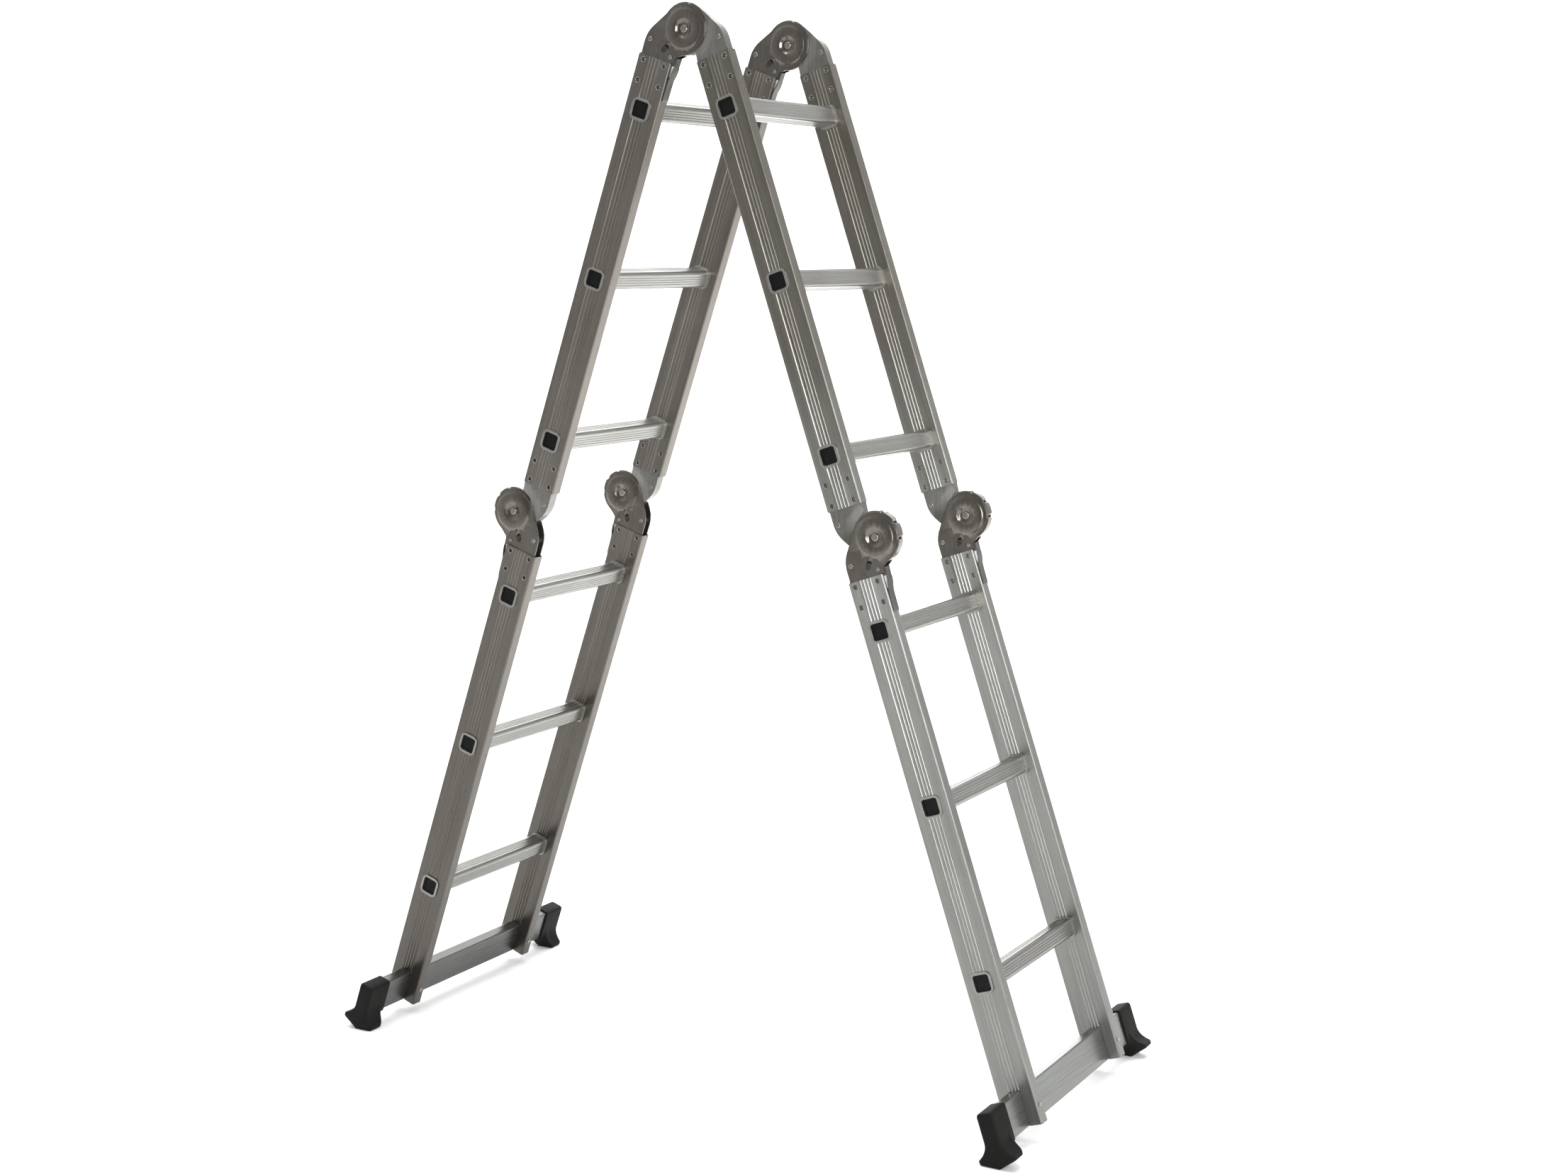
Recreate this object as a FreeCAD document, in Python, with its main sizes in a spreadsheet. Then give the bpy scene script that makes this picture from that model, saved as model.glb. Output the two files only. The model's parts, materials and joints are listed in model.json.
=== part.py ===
"""Multi position ladder: four sections of three rungs joined by three locking hinge axes.

Millimetres. X is the direction the legs spread in, Y runs along the rungs, Z is up.
The origin is on the floor, midway between the four feet. At rest the ladder stands as an
A-frame: each leg is an upper and a lower section locked in line.

Each leg has a frame of its own with its origin on the apex axis, Z up along the leg. The stiles'
centreline is `pivot_offset` away from the apex axis, and the mid hinge axis is as far again
on the stiles' other side, so the four sections fold flat against each other.
"""
import FreeCAD
import Part
import math
import os
import re
import Sketcher

from FreeCAD import Placement, Rotation, Vector

doc = FreeCAD.newDocument("multi_position_ladder")
X_AXIS, Y_AXIS, Z_AXIS = Vector(1, 0, 0), Vector(0, 1, 0), Vector(0, 0, 1)

# ---------------------------------------------------------------- driving dimensions
DIMENSIONS = [
    ("lean_angle", 18.85),  # each leg's lean from the vertical, degrees
    ("rung_pitch", 280),
    ("first_rung", 140),  # from the apex axis, along the leg
    ("leg_to_mid", 840),  # apex axis to mid hinge axis
    ("pivot_offset", 36),  # stile centreline to either hinge axis
    ("stile_gap", 57),  # hinge axis to the cut end of a stile
    ("stile_depth", 62),
    ("stile_width", 22),
    ("stile_wall", 1.6),
    ("stile_corner", 2.5),
    ("overall_width", 350),
    ("foot_of_stile", 1768),  # from the apex axis
    ("rib_groove", 3.2),
    ("rib_groove_depth", 1),
    ("rib_pitch", 6),
    ("rung_size", 30),
    ("rung_corner", 6),
    ("rung_wall", 1.7),
    ("tread_groove", 1.8),
    ("tread_groove_depth", 0.7),
    ("tread_pitch", 4),
    ("swage_size", 36),
    ("swage_thick", 4.5),
    ("collar_size", 35),
    ("collar_thick", 2.2),
    ("plug_recess", 1.2),
    ("plug_depth", 9),
    ("head_radius", 38),
    ("disc_radius", 41),
    ("cheek_thick", 2.4),
    ("cheek_inner", 6.9),  # half the gap between the two cheeks
    ("disc_half", 6.7),  # half the thickness of the ratchet disc
    ("neck_half", 9.3),  # half the thickness of the disc's neck
    ("sheet_steel", 2.2),
    ("bowl_top", 17),
    ("bowl_floor", 9.5),
    ("bowl_depth", 1.5),  # below the plate's outer face
    ("boss_foot", 34),
    ("boss_top", 28),
    ("boss_height", 3),
    ("panel_radius", 17),  # the pressed panel round the lock slot
    ("panel_depth", 0.7),
    ("leaf_corner", 48),
    ("leaf_gap", 1.2),  # between the two leaves' thick parts, in line and folded
    ("web_radius", 56),  # where the slope down from the neck to the disc starts
    ("pin_radius", 5),
    ("pin_head_radius", 6.5),
    ("fit", 0.05),  # radial clearance of a pin in its bore
    ("tab_reach", 112),  # hinge axis to the buried end of a leaf
    ("slot_angle", 32),  # lock slot, from the stile's axis towards its centreline
    ("bolt_radius", 4),
    ("bolt_clear", 45.5),  # hinge axis to lock bolt, drawn clear of the disc
    ("bolt_travel", 2.8),
    ("bolt_half", 9.2),
    ("slot_inner", 34.5),
    ("slot_outer", 48.5),
    ("stop_along", 48.4),
    ("stop_side", 26.3),  # from the stile's centreline
    ("stop_radius", 2.5),
    ("lever_reach", 117),
    ("lever_swing", 5),  # degrees between drawn and locked
    ("lever_half", 8),
    ("lever_arm_half", 6.5),
    ("rivet_side", 20),
    ("rivet_near", 65),
    ("rivet_far", 98),
    ("eyelet_radius", 3.6),
    ("eyelet_bore", 2.9),
    ("eyelet_lip", 4.9),
    ("eyelet_height", 0.7),
    ("rivet_radius", 2.5),
    ("rivet_head", 4),
    ("rivet_dome", 1.6),
    ("bar_top", 1712),
    ("bar_height", 56),
    ("bar_thick", 20),
    ("bar_wall", 1.8),
    ("bar_corner", 2.5),
    ("bar_half", 284),
    ("boot_inner", 236),
    ("boot_outer", 288),
    ("boot_half", 13.5),
    ("boot_top", 1709),
    ("boot_bottom", 1772),
    ("sole_inner", 259),
    ("sole_half", 31),
    ("sole_ridge", 1796),
    ("sole_flare_top", 1758),
    ("sole_edge", 7),
]
sheet = doc.addObject("Spreadsheet::Sheet", "Sizes")
for row, (alias, number) in enumerate(DIMENSIONS, start=1):
    sheet.set("A%d" % row, alias)
    sheet.set("B%d" % row, str(number))
    sheet.setAlias("B%d" % row, alias)
doc.recompute()


def size(name):
    """A driving dimension, as a number."""
    return float(sheet.get(name))


def worth(formula):
    """The number that a formula in the sheet's own names comes to."""
    return float(sheet.evalExpression(formula))


def bound(formula):
    """The same formula as another object writes it: every name prefixed with the sheet."""
    return re.sub(r"[a-z_]+", lambda word: PREFIXED.get(word.group(), word.group()), formula)


PREFIXED = {alias: "Sizes." + alias for alias, _ in DIMENSIONS}


def texts(points):
    """Points as the formulas that the drawing helpers take."""
    return [("%.3f" % x, "%.3f" % z) for x, z in points]


# ---------------------------------------------------------------- drawing helpers
def new_body(label):
    body = doc.addObject("PartDesign::Body", label)
    body.Label = label
    return body


def new_sketch(body, name, plane="XZ_Plane"):
    sketch = body.newObject("Sketcher::SketchObject", name)
    origin = [f for f in body.Origin.OriginFeatures if f.Role == plane][0]
    sketch.AttachmentSupport = [(origin, "")]
    sketch.MapMode = "FlatFace"
    return sketch


def pin_down(sketch, geometry, point, formulas):
    """Hold one point of a sketch at an x and y given by formulas in the sheet's names."""
    for kind, formula in zip(("DistanceX", "DistanceY"), formulas):
        where = worth(formula)
        if abs(where) < 1e-9:
            axis = -2 if kind == "DistanceX" else -1
            sketch.addConstraint(Sketcher.Constraint("PointOnObject", geometry, point, axis))
            continue
        index = sketch.addConstraint(
            Sketcher.Constraint(kind, -1, 1, geometry, point, where)
        )
        sketch.setExpression("Constraints[%d]" % index, bound(formula))


def polygon(sketch, corners):
    """A closed outline through corners, each a pair of formulas."""
    points = [Vector(worth(x), worth(y), 0) for x, y in corners]
    first = sketch.GeometryCount
    count = len(points)
    for i in range(count):
        sketch.addGeometry(Part.LineSegment(points[i], points[(i + 1) % count]), False)
    for i in range(count):
        after = first + (i + 1) % count
        sketch.addConstraint(Sketcher.Constraint("Coincident", first + i, 2, after, 1))
    for i, corner in enumerate(corners):
        pin_down(sketch, first + i, 1, corner)


def rectangle(sketch, left, right, low, high):
    polygon(sketch, [(left, low), (right, low), (right, high), (left, high)])


def circle(sketch, centre, radius):
    x, y = (worth(formula) for formula in centre)
    index = sketch.addGeometry(Part.Circle(Vector(x, y, 0), Z_AXIS, worth(radius)), False)
    pin_down(sketch, index, 3, centre)
    held = sketch.addConstraint(Sketcher.Constraint("Radius", index, worth(radius)))
    sketch.setExpression("Constraints[%d]" % held, bound(radius))


def rounded_square(sketch, half_x, half_y, radius):
    """A rectangle about the origin with round corners."""
    rounded_box(sketch, "-(%s)" % half_x, half_x, "-(%s)" % half_y, half_y, radius)


def rounded_box(sketch, left, right, low, high, radius):
    """A rectangle with round corners: four lines and four tangent quarter circles."""
    x0, x1, y0, y1, r = (worth(f) for f in (left, right, low, high, radius))
    first = sketch.GeometryCount
    lines = [
        ((x0 + r, y0), (x1 - r, y0)),
        ((x1, y0 + r), (x1, y1 - r)),
        ((x1 - r, y1), (x0 + r, y1)),
        ((x0, y1 - r), (x0, y0 + r)),
    ]
    for start, end in lines:
        sketch.addGeometry(Part.LineSegment(Vector(*start, 0), Vector(*end, 0)), False)
    centres = [(x1 - r, y0 + r), (x1 - r, y1 - r), (x0 + r, y1 - r), (x0 + r, y0 + r)]
    for turn, centre in enumerate(centres):
        round_end = Part.Circle(Vector(*centre, 0), Z_AXIS, r)
        start = (turn - 1) * math.pi / 2
        sketch.addGeometry(Part.ArcOfCircle(round_end, start, start + math.pi / 2), False)
    for turn in range(4):
        line, arc, following = first + turn, first + 4 + turn, first + (turn + 1) % 4
        sketch.addConstraint(Sketcher.Constraint("Tangent", line, 2, arc, 1))
        sketch.addConstraint(Sketcher.Constraint("Tangent", arc, 2, following, 1))
        if turn:
            sketch.addConstraint(Sketcher.Constraint("Equal", first + 4, arc))
    held = sketch.addConstraint(Sketcher.Constraint("Radius", first + 4, r))
    sketch.setExpression("Constraints[%d]" % held, bound(radius))
    sketch.addConstraint(Sketcher.Constraint("Horizontal", first))
    sketch.addConstraint(Sketcher.Constraint("Vertical", first + 1))
    for line, kind, formula in (
        (0, "DistanceY", low),
        (1, "DistanceX", right),
        (2, "DistanceY", high),
        (3, "DistanceX", left),
    ):
        index = sketch.addConstraint(
            Sketcher.Constraint(kind, -1, 1, first + line, 1, worth(formula))
        )
        sketch.setExpression("Constraints[%d]" % index, bound(formula))


def pad(body, sketch, length, both_ways=False, reverse=False):
    feature = body.newObject("PartDesign::Pad", sketch.Name + "_pad")
    feature.Profile = sketch
    feature.Midplane = both_ways
    feature.Reversed = reverse
    feature.setExpression("Length", bound(length))
    sketch.Visibility = False
    return feature


def pocket(body, sketch, length=None):
    """Cut a sketch out on both sides of its plane, right through unless a length is given."""
    feature = body.newObject("PartDesign::Pocket", sketch.Name + "_cut")
    feature.Profile = sketch
    feature.Midplane = True
    if length is None:
        feature.Type = "ThroughAll"
    else:
        feature.setExpression("Length", bound(length))
    sketch.Visibility = False
    return feature


def set_back(sketch, formula):
    """Move a sketch along its own normal."""
    sketch.setExpression("AttachmentOffset.Base.z", bound(formula))


def through(body, name, circles, plane="XZ_Plane"):
    """Round holes right through: circles holds (centre, radius) pairs of formulas."""
    sketch = new_sketch(body, name, plane)
    for centre, radius in circles:
        circle(sketch, centre, radius)
    return pocket(body, sketch)


def oblong(body, name, start, end, half):
    """A slot right through with round ends; start and end are pairs of formulas."""
    (x0, z0), (x1, z1) = [(worth(x), worth(z)) for x, z in (start, end)]
    wide = worth(half) / math.hypot(x1 - x0, z1 - z0)
    dx, dz = (x1 - x0) * wide, (z1 - z0) * wide
    sides = new_sketch(body, name)
    polygon(sides, texts([(x0 - dz, z0 + dx), (x1 - dz, z1 + dx), (x1 + dz, z1 - dx),
                          (x0 + dz, z0 - dx)]))
    pocket(body, sides)
    for centre in (start, end):
        through(body, name + "_end", [(centre, half)])


def round_off(body, radius, wanted):
    """Fillet every edge of the body so far that wanted(edge) picks."""
    doc.recompute()
    base = body.Tip
    names = []
    for index, edge in enumerate(base.Shape.Edges, start=1):
        if wanted(edge):
            names.append("Edge%d" % index)
    fillet = body.newObject("PartDesign::Fillet", body.Name + "_round")
    fillet.Base = (base, names)
    fillet.setExpression("Radius", bound(radius))


def linked(source, placement):
    """A placed copy of an object, for use inside a group."""
    link = doc.addObject("App::Link", source.Name + "_copy")
    link.LinkedObject = source
    link.Placement = placement
    return link


def group(label, members, placement):
    """One node of several separate solids."""
    compound = doc.addObject("Part::Compound", label)
    compound.Label = label
    compound.Links = members
    compound.Placement = placement
    return compound


def moved(x=0.0, y=0.0, z=0.0, turn=0.0, axis=Z_AXIS):
    return Placement(Vector(x, y, z), Rotation(axis, turn))


# ---------------------------------------------------------------- places
LEAN = size("lean_angle")
OFFSET = size("pivot_offset")
STILE_Y = (size("overall_width") - size("stile_width")) / 2
SIDES = (("near", -1), ("far", 1))
APEX_HEIGHT = size("sole_ridge") * math.cos(math.radians(LEAN)) - OFFSET * math.sin(
    math.radians(LEAN)
)
LEG = {
    "left": moved(z=APEX_HEIGHT, turn=LEAN, axis=Y_AXIS),
    "right": moved(z=APEX_HEIGHT, turn=-LEAN, axis=Y_AXIS),
}
CENTRELINE = {"left": moved(x=-OFFSET), "right": moved(x=OFFSET)}
HALF_TURN = moved(turn=180)
# a hinge's own frame: the axis is Y, the locking leaf hangs down with its stile at -X
AXIS = {
    "apex": LEG["left"],
    "left_mid": LEG["left"] * moved(x=-2 * OFFSET, z=-size("leg_to_mid"), turn=180),
    "right_mid": LEG["right"] * moved(x=2 * OFFSET, z=-size("leg_to_mid")),
}
# the disc leaf of the apex hinge hangs down the right leg instead of standing up in line
DISC_TURN = {
    "apex": LEG["right"] * moved(turn=180, axis=Y_AXIS),
    "left_mid": AXIS["left_mid"],
    "right_mid": AXIS["right_mid"],
}


# ---------------------------------------------------------------- stiles
def stile(label, upper, placement):
    """A closed box extrusion with four vee grooves down the middle of each wide face."""
    body = new_body(label)
    top = "stile_gap" if upper else "(leg_to_mid + stile_gap)"
    bottom = "(leg_to_mid - stile_gap)" if upper else "foot_of_stile"
    outline = new_sketch(body, "outline", "XY_Plane")
    rounded_square(outline, "stile_depth / 2", "stile_width / 2", "stile_corner")
    set_back(outline, "-%s" % bottom)
    pad(body, outline, "%s - %s" % (bottom, top))
    hollow = new_sketch(body, "hollow", "XY_Plane")
    rectangle(
        hollow,
        "-stile_depth / 2 + stile_wall",
        "stile_depth / 2 - stile_wall",
        "-stile_width / 2 + stile_wall",
        "stile_width / 2 - stile_wall",
    )
    pocket(body, hollow)
    grooves = new_sketch(body, "grooves", "XY_Plane")
    for face in (-1, 1):
        for step in (-1.5, -0.5, 0.5, 1.5):
            middle = "%s * rib_pitch" % step
            low = "%s * (stile_width / 2 - rib_groove_depth)" % face
            high = "%s * (stile_width / 2 + rib_groove_depth)" % face
            left, right = middle + " - rib_groove", middle + " + rib_groove"
            polygon(grooves, [(middle, low), (right, high), (left, high)])
    pocket(body, grooves)
    rung_holes = new_sketch(body, "rung_holes")
    for rung in range(3):
        middle = "(first_rung + %d * rung_pitch)" % (rung + (0 if upper else 3))
        rounded_box(
            rung_holes,
            "-rung_size / 2 - fit",
            "rung_size / 2 + fit",
            "-%s - rung_size / 2 - fit" % middle,
            "-%s + rung_size / 2 + fit" % middle,
            "rung_corner",
        )
    pocket(body, rung_holes)
    ends = ["", "leg_to_mid - "] if upper else ["leg_to_mid + "]
    holes = []
    for end in ends:
        for reach in ("rivet_near", "rivet_far"):
            for side in ("-rivet_side", "rivet_side"):
                holes.append(((side, "-(%s%s)" % (end, reach)), "eyelet_radius + fit"))
    through(body, "rivet_holes", holes)
    if not upper:
        slot = new_sketch(body, "bar_slot")
        rectangle(
            slot,
            "-bar_thick / 2 - fit",
            "bar_thick / 2 + fit",
            "-foot_of_stile - 1",
            "-bar_top + fit",
        )
        pocket(body, slot)
        middle = "-bar_top - bar_height / 2"
        through(body, "bar_hole", [(("0", middle), "rivet_radius + fit")], "YZ_Plane")
    body.Placement = placement
    return body


# ---------------------------------------------------------------- rungs
def ring(body, name, width, corner, start, thick):
    """A rounded square band round the rung, start away from its middle at both ends."""
    for side in (-1, 1):
        sketch = new_sketch(body, name)
        rounded_square(sketch, "%s / 2" % width, "%s / 2" % width, corner)
        set_back(sketch, "%d * (%s + (%s) / 2)" % (side, start, thick))
        pad(body, sketch, thick, both_ways=True)


def rung(label, placement):
    """A square tube with grooved treads, swaged out against both faces of each stile."""
    body = new_body(label)
    tube = new_sketch(body, "tube")
    rounded_square(tube, "rung_size / 2", "rung_size / 2", "rung_corner")
    pad(body, tube, "overall_width", both_ways=True)
    inner_face = "(overall_width / 2 - stile_width)"
    ring(body, "swage", "swage_size", "rung_corner + 3", "%s - swage_thick" % inner_face,
         "swage_thick")
    ring(body, "collar", "collar_size", "rung_corner + 4", "overall_width / 2", "collar_thick")
    tread = new_sketch(body, "tread")
    for step in (-1.5, -0.5, 0.5, 1.5):
        rectangle(
            tread,
            "%s * tread_pitch - tread_groove / 2" % step,
            "%s * tread_pitch + tread_groove / 2" % step,
            "rung_size / 2 - tread_groove_depth",
            "rung_size / 2 + 1",
        )
    grooves = pocket(body, tread, "2 * (%s - swage_thick)" % inner_face)
    pattern = body.newObject("PartDesign::PolarPattern", "all_four_faces")
    pattern.Originals = [grooves]
    pattern.Axis = ([f for f in body.Origin.OriginFeatures if f.Role == "Y_Axis"][0], [""])
    pattern.Angle = 360
    pattern.Occurrences = 4
    body.Tip = pattern
    bore = new_sketch(body, "bore")
    inside = "rung_size / 2 - rung_wall"
    rounded_square(bore, inside, inside, "rung_corner - rung_wall")
    pocket(body, bore)
    body.Placement = placement
    return body


def end_plug():
    """A moulded cap with a shallow dish in its face, pushed into the open end of a rung."""
    body = new_body("end_plug")
    outside = "rung_size / 2 - rung_wall - fit"
    cap = new_sketch(body, "cap")
    rounded_square(cap, outside, outside, "rung_corner - rung_wall")
    set_back(cap, "-(overall_width / 2 + collar_thick - plug_recess)")
    pad(body, cap, "plug_depth")
    dish = new_sketch(body, "dish")
    rounded_square(dish, outside + " - 3", outside + " - 3", "2")
    set_back(dish, "-(overall_width / 2 + collar_thick - plug_recess)")
    pocket(body, dish, "2")
    return body


# ---------------------------------------------------------------- hinges
def tangent(x, z, radius, side):
    """Where a line from (x, z) touches the circle about the hinge axis; side is +1 or -1."""
    angle = math.atan2(z, x) + side * math.acos(radius / math.hypot(x, z))
    return radius * math.cos(angle), radius * math.sin(angle)


def set_off(start, end, gap):
    """Both ends of a line moved gap to its left."""
    dx, dz = end[0] - start[0], end[1] - start[1]
    scale = gap / math.hypot(dx, dz)
    return [(x - dz * scale, z + dx * scale) for x, z in (start, end)]


def crossing(a, b, c, d):
    """Where the line through a and b meets the line through c and d."""
    bx, bz, dx, dz = b[0] - a[0], b[1] - a[1], d[0] - c[0], d[1] - c[1]
    share = ((c[0] - a[0]) * dz - (c[1] - a[1]) * dx) / (bx * dz - bz * dx)
    return a[0] + share * bx, a[1] + share * bz


CHEEK_CORNER = (-63.5, -23.0)  # top outer corner of the locking leaf's plates
CHEEK_THROAT = (-1.5, -48.0)  # where their edge leaves the stile for the head
CHEEK_TAB = ("-pivot_offset - stile_depth / 2 + 1.8", "-pivot_offset + stile_depth / 2 - 1.8")
HINGE_HOLES = [
    (("-pivot_offset + %s * rivet_side" % side, "-%s" % reach), "eyelet_radius + fit")
    for side in (-1, 1)
    for reach in ("rivet_near", "rivet_far")
]
BOLT_X = "-sin(slot_angle) * "
BOLT_Z = "-cos(slot_angle) * "
STOP_PIN = ("-pivot_offset + stop_side", "-stop_along")
PANEL_CENTRE = (-21.5, -41.0)
LEVER_PIVOT = (-54.0, -32.0)  # also the rivet through that corner of the plates
NECK_RIVET = (-55.0, 34.0)
# the folds, from in line, at which the disc has a notch for the lock bolt
LOCKED_FOLDS = (0.0, 104.6, 180.0 - 2 * LEAN, 180.0)


def is_leaf_corner(edge):
    """The edges across a leaf's thickness at its outer top corner."""
    box = edge.BoundBox
    upright = box.XLength < 1e-3 and box.ZLength < 1e-3 and box.YLength > 1
    return upright and math.hypot(box.XMin - CHEEK_CORNER[0], abs(box.ZMin) + CHEEK_CORNER[1]) < 0.5


def spin(body, sketch, kind):
    """Turn a sketch about the body's Y axis, adding metal or cutting it."""
    feature = body.newObject(kind, sketch.Name + "_turned")
    feature.Profile = sketch
    y_axis = [f for f in body.Origin.OriginFeatures if f.Role == "Y_Axis"][0]
    feature.ReferenceAxis = (y_axis, [""])
    feature.Angle = 360
    sketch.Visibility = False


def cheek():
    """The outer plate of a locking leaf: a round head with a raised rim, and a buried tab."""
    body = new_body("cheek")
    left, right = CHEEK_TAB
    outer, throat = CHEEK_CORNER, CHEEK_THROAT
    high = tangent(*outer, size("head_radius"), -1)
    low = tangent(*throat, size("head_radius"), 1)
    plate = new_sketch(body, "plate")
    polygon(
        plate,
        [(left, "-tab_reach"), (right, "-tab_reach"), (right, "-stile_gap + 1")]
        + texts([(throat[0], -56), throat, low, (0, 0), high, outer])
        + [("%.3f" % outer[0], "-56"), (left, "-56")],
    )
    middle = "-(cheek_inner + cheek_thick / 2)"
    set_back(plate, middle)
    pad(body, plate, "cheek_thick", both_ways=True)
    head = new_sketch(body, "head")
    circle(head, ("0", "0"), "head_radius")
    set_back(head, middle)
    pad(body, head, "cheek_thick", both_ways=True)
    round_off(body, "leaf_corner", is_leaf_corner)
    face = "(cheek_inner + cheek_thick)"
    boss = new_sketch(body, "boss", "XY_Plane")
    top = face + " + boss_height"
    polygon(boss, [("0", face + " - 1"), ("boss_foot", face + " - 1"), ("boss_foot", face),
                   ("boss_top", top), ("0", top)])
    spin(body, boss, "PartDesign::Revolution")
    bowl = new_sketch(body, "bowl", "XY_Plane")
    polygon(bowl, [("0", face + " - bowl_depth"), ("bowl_floor", face + " - bowl_depth"),
                   ("bowl_top", top + " + 0.1"), ("0", top + " + 0.1")])
    spin(body, bowl, "PartDesign::Groove")
    panel = new_sketch(body, "panel")
    circle(panel, texts([PANEL_CENTRE])[0], "panel_radius")
    set_back(panel, "-" + face)
    pocket(body, panel, "2 * panel_depth")
    slot_ends = [(BOLT_X + end, BOLT_Z + end) for end in ("slot_inner", "slot_outer")]
    oblong(body, "lock_slot", *slot_ends, "bolt_radius + 3 * fit")
    holes = [
        (("0", "0"), "pin_radius + fit"),
        (STOP_PIN, "stop_radius + fit"),
        (texts([LEVER_PIVOT])[0], "rivet_radius + fit"),
    ]
    through(body, "holes", holes + HINGE_HOLES)
    return body


def disc_leaf():
    """The inner leaf: a hollow notched disc on a thick neck whose tab is buried in the stile."""
    body = new_body("disc_leaf")
    left, right = CHEEK_TAB
    right_edge = worth(right)
    outer, head, disc_edge = CHEEK_CORNER, size("head_radius"), size("disc_radius")
    # the neck stays clear of the locking leaf's two edges: one in line, the other folded flat
    gap = size("leaf_gap")
    seam = set_off(outer, tangent(*outer, head, -1), gap)
    throat_touch = tangent(*CHEEK_THROAT, head, 1)
    folded = set_off(
        (-throat_touch[0], -throat_touch[1]), (-CHEEK_THROAT[0], -CHEEK_THROAT[1]), gap
    )
    share = (right_edge - folded[0][0]) / (folded[1][0] - folded[0][0])
    neck_root = (right_edge, folded[0][1] + share * (folded[1][1] - folded[0][1]))
    # the neck's own flank mirrors the locking leaf's, and climbs to the disc
    shoulder = (outer[0], -outer[1])
    foot_touch = tangent(*shoulder, disc_edge, 1)
    meeting = crossing(shoulder, foot_touch, *seam)
    flank = [(left, "tab_reach"), (left, "stile_gap - 1")]
    flank += texts([(shoulder[0], size("stile_gap") - 1), shoulder])
    outline = flank + texts([meeting, seam[1], folded[0], neck_root]) + [(right, "tab_reach")]
    thin_outline = flank + texts([foot_touch, (0, 0), (right_edge, 25)]) + [(right, "tab_reach")]
    neck = new_sketch(body, "neck")
    polygon(neck, outline)
    pad(body, neck, "2 * neck_half", both_ways=True)
    through(body, "head_room", [(("0", "0"), "head_radius + 1")])
    web = new_sketch(body, "web", "XY_Plane")
    for way in ("", "-"):
        corners = [("head_radius", "disc_half"), ("head_radius + 1", "disc_half"),
                   ("web_radius", "neck_half"), ("web_radius", "(neck_half + 1)"),
                   ("head_radius", "(neck_half + 1)")]
        polygon(web, [(reach, way + side) for reach, side in corners])
    spin(body, web, "PartDesign::Groove")
    disc = new_sketch(body, "disc")
    circle(disc, ("0", "0"), "disc_radius")
    pad(body, disc, "2 * disc_half", both_ways=True)
    bridge = new_sketch(body, "bridge")
    polygon(bridge, thin_outline)
    pad(body, bridge, "2 * disc_half", both_ways=True)
    round_off(body, "leaf_corner", is_leaf_corner)
    chamber = new_sketch(body, "chamber")
    circle(chamber, ("0", "0"), "disc_radius - sheet_steel")
    circle(chamber, ("0", "0"), "pin_radius + 4")
    pocket(body, chamber, "2 * (disc_half - sheet_steel)")
    neck_room = new_sketch(body, "neck_room")
    wall = (-60.5, -9.2)
    inner_bend = [(wall[0], 31.0), (-51.0, 13.0), (-43.0, 28.0), (-28.0, 43.0), (wall[1], 51.0)]
    polygon(
        neck_room,
        [("%.3f" % wall[1], "tab_reach + 1"), ("%.3f" % wall[0], "tab_reach + 1")]
        + texts(inner_bend),
    )
    pocket(body, neck_room, "2 * (neck_half - sheet_steel)")
    notches = []
    for fold in LOCKED_FOLDS:
        angle = math.radians(fold - 90 - size("slot_angle"))
        reach = size("bolt_clear") - size("bolt_travel")
        where = texts([(reach * math.cos(angle), reach * math.sin(angle))])[0]
        notches.append((where, "bolt_radius + 5 * fit"))
    through(body, "notches", notches)
    holes = [(("0", "0"), "pin_radius + fit"), (texts([NECK_RIVET])[0], "rivet_radius + fit")]
    mirrored = [((x, z.replace("-", "", 1)), r) for (x, z), r in HINGE_HOLES]
    through(body, "holes", holes + mirrored)
    return body


def eyelet():
    """A tubular rivet through a stile and the leaf inside it, its ends rolled over."""
    body = new_body("eyelet")
    profile = new_sketch(body, "profile", "XY_Plane")
    grip = "stile_width / 2"
    lip = grip + " + eyelet_height"
    outline = [
        ("eyelet_bore", "0"),
        ("eyelet_radius", "0"),
        ("eyelet_radius", grip),
        ("eyelet_lip", grip),
        ("eyelet_lip - 0.3", lip),
        ("eyelet_lip - 1.3", lip),
        ("eyelet_bore", grip + " - 0.4"),
    ]
    polygon(profile, outline)
    spin(body, profile, "PartDesign::Revolution")
    mirror = body.newObject("PartDesign::Mirrored", "other_end")
    mirror.Originals = [body.Tip]
    plane = [f for f in body.Origin.OriginFeatures if f.Role == "XZ_Plane"][0]
    mirror.MirrorPlane = (plane, [""])
    body.Tip = mirror
    return body


def rivet(label, radius, grip, head_radius, dome):
    """A pin along Y through 2 x grip of metal with a domed head at each end."""
    body = new_body(label)
    profile = new_sketch(body, "profile", "XY_Plane")
    polygon(
        profile,
        [
            ("0", "-(%s) - %s" % (grip, dome)),
            (head_radius, "-(%s) - %s" % (grip, dome)),
            (head_radius, "-(%s)" % grip),
            (radius, "-(%s)" % grip),
            (radius, grip),
            (head_radius, grip),
            (head_radius, "%s + %s" % (grip, dome)),
            ("0", "%s + %s" % (grip, dome)),
        ],
    )
    spin(body, profile, "PartDesign::Revolution")
    end = worth("%s + %s" % (grip, dome))

    def is_crown(edge):
        return abs(abs(edge.BoundBox.YMin) - end) < 1e-3 and edge.BoundBox.YLength < 1e-3

    round_off(body, "(%s) * 0.85" % dome, is_crown)
    return body


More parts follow.
